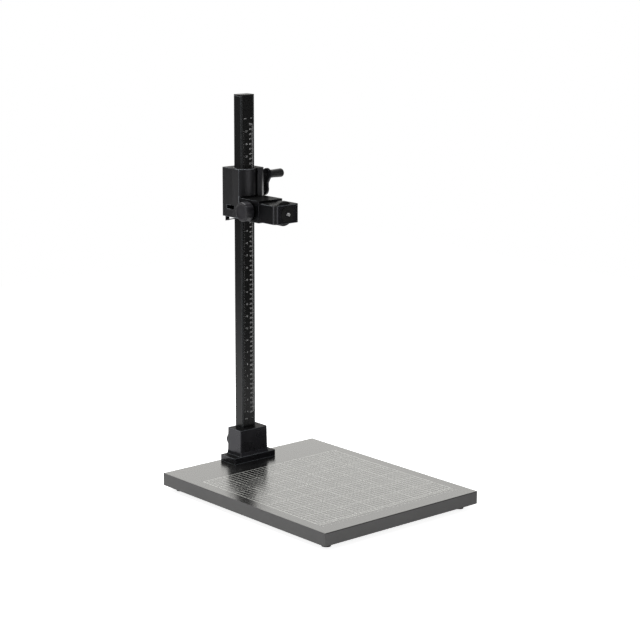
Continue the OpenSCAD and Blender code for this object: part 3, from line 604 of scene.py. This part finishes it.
scale = Print((0, STRIP_FRONT - PRINT_LIFT / MM, 0), (1, 0, 0), (0, 0, 1), boldness=0.08)
scale.bar(CM_LINE, CM_LINE + CM_LINE_WIDTH, LOW_CM * CM, HIGH_CM * CM)
for mm in range(LOW_CM * CM, HIGH_CM * CM + 1):
    reach = by_rank(mm, CM, 3.2, 2.4, 1.7)
    half = (MM_TICK if mm % CM else CM_TICK) / 2
    scale.bar(CM_LINE - reach, CM_LINE, mm - half, mm + half)
for cm in range(LOW_CM, HIGH_CM + 1):
    height = CM_FIGURE_HEIGHT if cm % 10 else TEN_CM_FIGURE_HEIGHT
    scale.words(str(cm), CM_FIGURES, cm * CM, height)
for eighth in range(LOW_INCH * EIGHTHS, HIGH_INCH * EIGHTHS + 1):
    z = eighth * INCH / EIGHTHS
    reach = by_rank(eighth, EIGHTHS, 3.6, 2.6, 1.7)
    scale.bar(INCH_LINE, INCH_LINE + reach, z - INCH_TICK_HALF, z + INCH_TICK_HALF)
for inch in range(LOW_INCH, HIGH_INCH + 1):
    scale.words(str(inch), INCH_FIGURES, inch * INCH, INCH_FIGURE_HEIGHT)
for z in UNIT_WORD_HEIGHTS:
    for unit, across, height in UNIT_WORDS:
        scale.words(unit, across, z, height)
scale.finish("scale_print_marks", white_ink, "stand", "scale_print")


# Knobs

def knob_profile(radius, length):
    """A knob's outline from the clamped side to a face with a raised rim."""
    edge = 0.09 * radius
    rim = 0.8 * radius
    return [
        (0, 0), (radius * 0.9, 0), (radius * 0.97, edge * 0.4), (radius, edge * 1.4),
        (radius, length - edge * 2.2), (radius * 0.985, length - edge * 1.0),
        (radius * 0.93, length - edge * 0.3), (radius * 0.86, length),
        (rim, length), (rim * 0.965, length - 0.35 * MM), (rim * 0.93, length - 0.9 * MM),
        (rim * 0.9, length - 1.0 * MM), (rim * 0.5, length - 0.8 * MM), (0, length - 0.7 * MM),
    ]


# How deep the flutes are at each point of that outline
KNOB_FADE = [0, 0.3, 0.8, 1, 1, 0.9, 0.6, 0.2, 0, 0, 0, 0, 0, 0]
FLUTE_DEPTH = 0.035  # for each unit of the knob's radius


def clamp_knob(node, body, axis, lobes, neck_radius, neck_length):
    """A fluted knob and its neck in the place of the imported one, facing along the axis."""
    low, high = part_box(node)
    along = max(range(3), key=lambda i: abs(axis[i]))
    length = (high - low)[along] - neck_length
    radius = max(high[i] - low[i] for i in range(3) if i != along) / 2
    start = (low + high) / 2
    start[along] = (high[along] - length) if axis[along] > 0 else (low[along] + length)
    facing = Vector((0, 0, 1)).rotation_difference(Vector(axis)).to_matrix().to_4x4()
    place = Matrix.Translation(start) @ facing
    neck = [(0, -neck_length), (neck_radius, -neck_length), (neck_radius, 0.2 * MM), (0, 0.2 * MM)]
    bm = bmesh.new()
    bm.from_mesh(turned(
        node + "_body", knob_profile(radius, length), place, segments=144, lobes=lobes,
        depth=FLUTE_DEPTH * radius, fade=KNOB_FADE))
    bm.from_mesh(turned(node + "_neck", neck, place, segments=64))
    merged = bpy.data.meshes.new(node + "_turned")
    bm.to_mesh(merged)
    bm.free()
    piece = new_piece(node + "_turned", merged, knob_plastic, body, "knob_plastic", smooth=True)
    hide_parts(node)


clamp_knob("arm_clamp_knob", "arm_clamp", (-1, 0, 0), lobes=12,
           neck_radius=12 * MM, neck_length=2 * MM)
clamp_knob("foot_clamp_knob", "foot_clamp", (0, 1, 0), lobes=8,
           neck_radius=7 * MM, neck_length=11.7 * MM)


# Studio

# The floor's painted pool of light: its centre, and the distances over which it fades out. The
# camera's white rises over the same distances.
PAINTED_POOL_CENTRE = (-0.35, 0.45)
PAINTED_POOL_REACH, DARK_REACH = 0.5, 1.95
SEEN_CENTRE, SEEN_AWAY = 0.86, 1.0
# How brightly reflections see the painted pool of light glow
MIRRORED_FLOOR = 0.25
FLOOR_SIZE = 4.6


def stage_plane(name, size, z, finish):
    mesh = bpy.data.meshes.new(name)
    half = size / 2
    corners = [(-half, -half, z), (half, -half, z), (half, half, z), (-half, half, z)]
    mesh.from_pydata(corners, [], [(0, 1, 2, 3)])
    mesh.materials.append(finish)
    plane = bpy.data.objects.new(name, mesh)
    bpy.context.scene.collection.objects.link(plane)


def floor_finish():
    """White paper with the object's soft shadow, and a painted pool of light: its colour is pale
    near the object and fades to dark around it, and reflections see it glow in the same patch.

    The camera sees it as nearly white everywhere.
    """
    paper = Finish("studio_floor", Roughness=1.0, Specular_IOR_Level=0.0)
    camera_ray, glossy_ray, transmission_ray = (
        paper.node("ShaderNodeLightPath", out=name)
        for name in ("Is Camera Ray", "Is Glossy Ray", "Is Transmission Ray"))
    x, y, _ = paper.axes()
    x, y = x - PAINTED_POOL_CENTRE[0], y - PAINTED_POOL_CENTRE[1]
    distance = paper.maths("SQRT", x * x + y * y)
    away = paper.spread(distance, PAINTED_POOL_REACH, DARK_REACH, SEEN_CENTRE, SEEN_AWAY)
    # A painted pool of light: pale paper near the object, dark further out, and the same patch
    # glows in reflections
    painted_light_pool = paper.spread(distance, PAINTED_POOL_REACH, DARK_REACH, 1.0, 0.0)
    paper.use(Base_Color=paper.blend(painted_light_pool, grey(0.04), grey(0.8)))
    white = camera_ray * away + (glossy_ray + transmission_ray) * painted_light_pool * MIRRORED_FLOOR
    lift = paper.node("ShaderNodeEmission", values={"Color": (1, 1, 1), "Strength": white})
    paper.show(paper.node("ShaderNodeAddShader", values={
        0: Signal(paper, paper.shader.outputs[0]), 1: lift}))
    return paper.material


stage_plane("studio_floor", FLOOR_SIZE, FLOOR_Z - 0.2 * MM, floor_finish())


def soft_light(name, place, target, width, height, power):
    data = bpy.data.lights.new(name, "AREA")
    data.shape = "RECTANGLE"
    data.size, data.size_y, data.energy = width, height, power
    lamp = bpy.data.objects.new(name, data)
    lamp.location = place
    lamp.rotation_mode = "QUATERNION"
    lamp.rotation_quaternion = (Vector(target) - Vector(place)).to_track_quat("-Z", "Y")
    bpy.context.scene.collection.objects.link(lamp)


soft_light("overhead", (-0.4, 0.7, 2.1), (0, 0.1, 0.2), width=1.6, height=1.4, power=34)
soft_light("front", (0.6, -2.35, 0.45), (0.1, 0.15, 0.5), width=1.7, height=0.9, power=7.8)
soft_light("left_strip", (-2.3, 0.15, 0.4), (0, 0.2, 0.5), width=0.35, height=1.2, power=5.5)

world = bpy.data.worlds.new("studio")
bpy.context.scene.world = world
world.use_nodes = True
world.node_tree.nodes.clear()


def world_node(kind, settings=None, values=None):
    made = world.node_tree.nodes.new(kind)
    for name, setting in (settings or {}).items():
        setattr(made, name, setting)
    for name, value in (values or {}).items():
        if isinstance(value, bpy.types.NodeSocket):
            world.node_tree.links.new(value, made.inputs[name])
        else:
            made.inputs[name].default_value = value
    return made


def brighter(first, second):
    return world_node("ShaderNodeMath", {"operation": "MAXIMUM"}, {0: first, 1: second}).outputs[0]


# The backdrop is white behind the object and the room is dark in front of it
BACKDROP_SIDE = (0.55, 0.83, 0.1)
direction = world_node("ShaderNodeTexCoord").outputs["Generated"]
toward = world_node(
    "ShaderNodeVectorMath", {"operation": "DOT_PRODUCT"}, {0: direction, 1: BACKDROP_SIDE})


def room(low_end, high_end, dark, bright):
    """Brightness from dark to bright as the direction turns to the backdrop."""
    return world_node("ShaderNodeMapRange", SMOOTH, {
        "Value": toward.outputs["Value"], "From Min": low_end, "From Max": high_end,
        "To Min": dark, "To Max": bright}).outputs[0]


rays = world_node("ShaderNodeLightPath").outputs
mirrored = brighter(rays["Is Glossy Ray"], rays["Is Transmission Ray"])
room_light = room(-0.5, 0.9, dark=0.25, bright=0.7)
room_mirrored = room(0.2, 0.93, dark=0.015, bright=1.0)
unseen = world_node("ShaderNodeMix", {"data_type": "FLOAT"}, {
    0: mirrored, 2: room_light, 3: room_mirrored}).outputs[0]
level = brighter(rays["Is Camera Ray"], unseen)
# What the object mirrors is a little warmer than the white behind it
tone = world_node("ShaderNodeMix", {"data_type": "RGBA"}, {
    "Factor": mirrored, 6: (1, 1, 1, 1), 7: (1, 0.992, 0.957, 1)}).outputs[2]
backdrop = world_node("ShaderNodeBackground", {}, {"Color": tone, "Strength": level})
world_node("ShaderNodeOutputWorld", {}, {"Surface": backdrop.outputs[0]})

# Camera, from the board's corners and the column in the photo
CAMERA_PLACE = (-2.33474, -2.68321, 1.10387)
CAMERA_LOOKS = (0.64207172, 0.73679064, -0.21185717)
ROLL = math.radians(0.23)

camera_data = bpy.data.cameras.new("photo_camera")
camera_data.sensor_width = 36
camera_data.lens = 103.89
camera_data.clip_end = 100
camera = bpy.data.objects.new("photo_camera", camera_data)
bpy.context.scene.collection.objects.link(camera)
forward = Vector(CAMERA_LOOKS).normalized()
level_right = forward.cross(Vector((0, 0, 1))).normalized()
level_up = level_right.cross(forward)
right = level_right * math.cos(ROLL) + level_up * math.sin(ROLL)
up = right.cross(forward)
turn = Matrix((right, up, -forward)).transposed()
camera.matrix_world = Matrix.Translation(CAMERA_PLACE) @ turn.to_4x4()
bpy.context.scene.camera = camera

bpy.context.scene.view_settings.view_transform = "Standard"
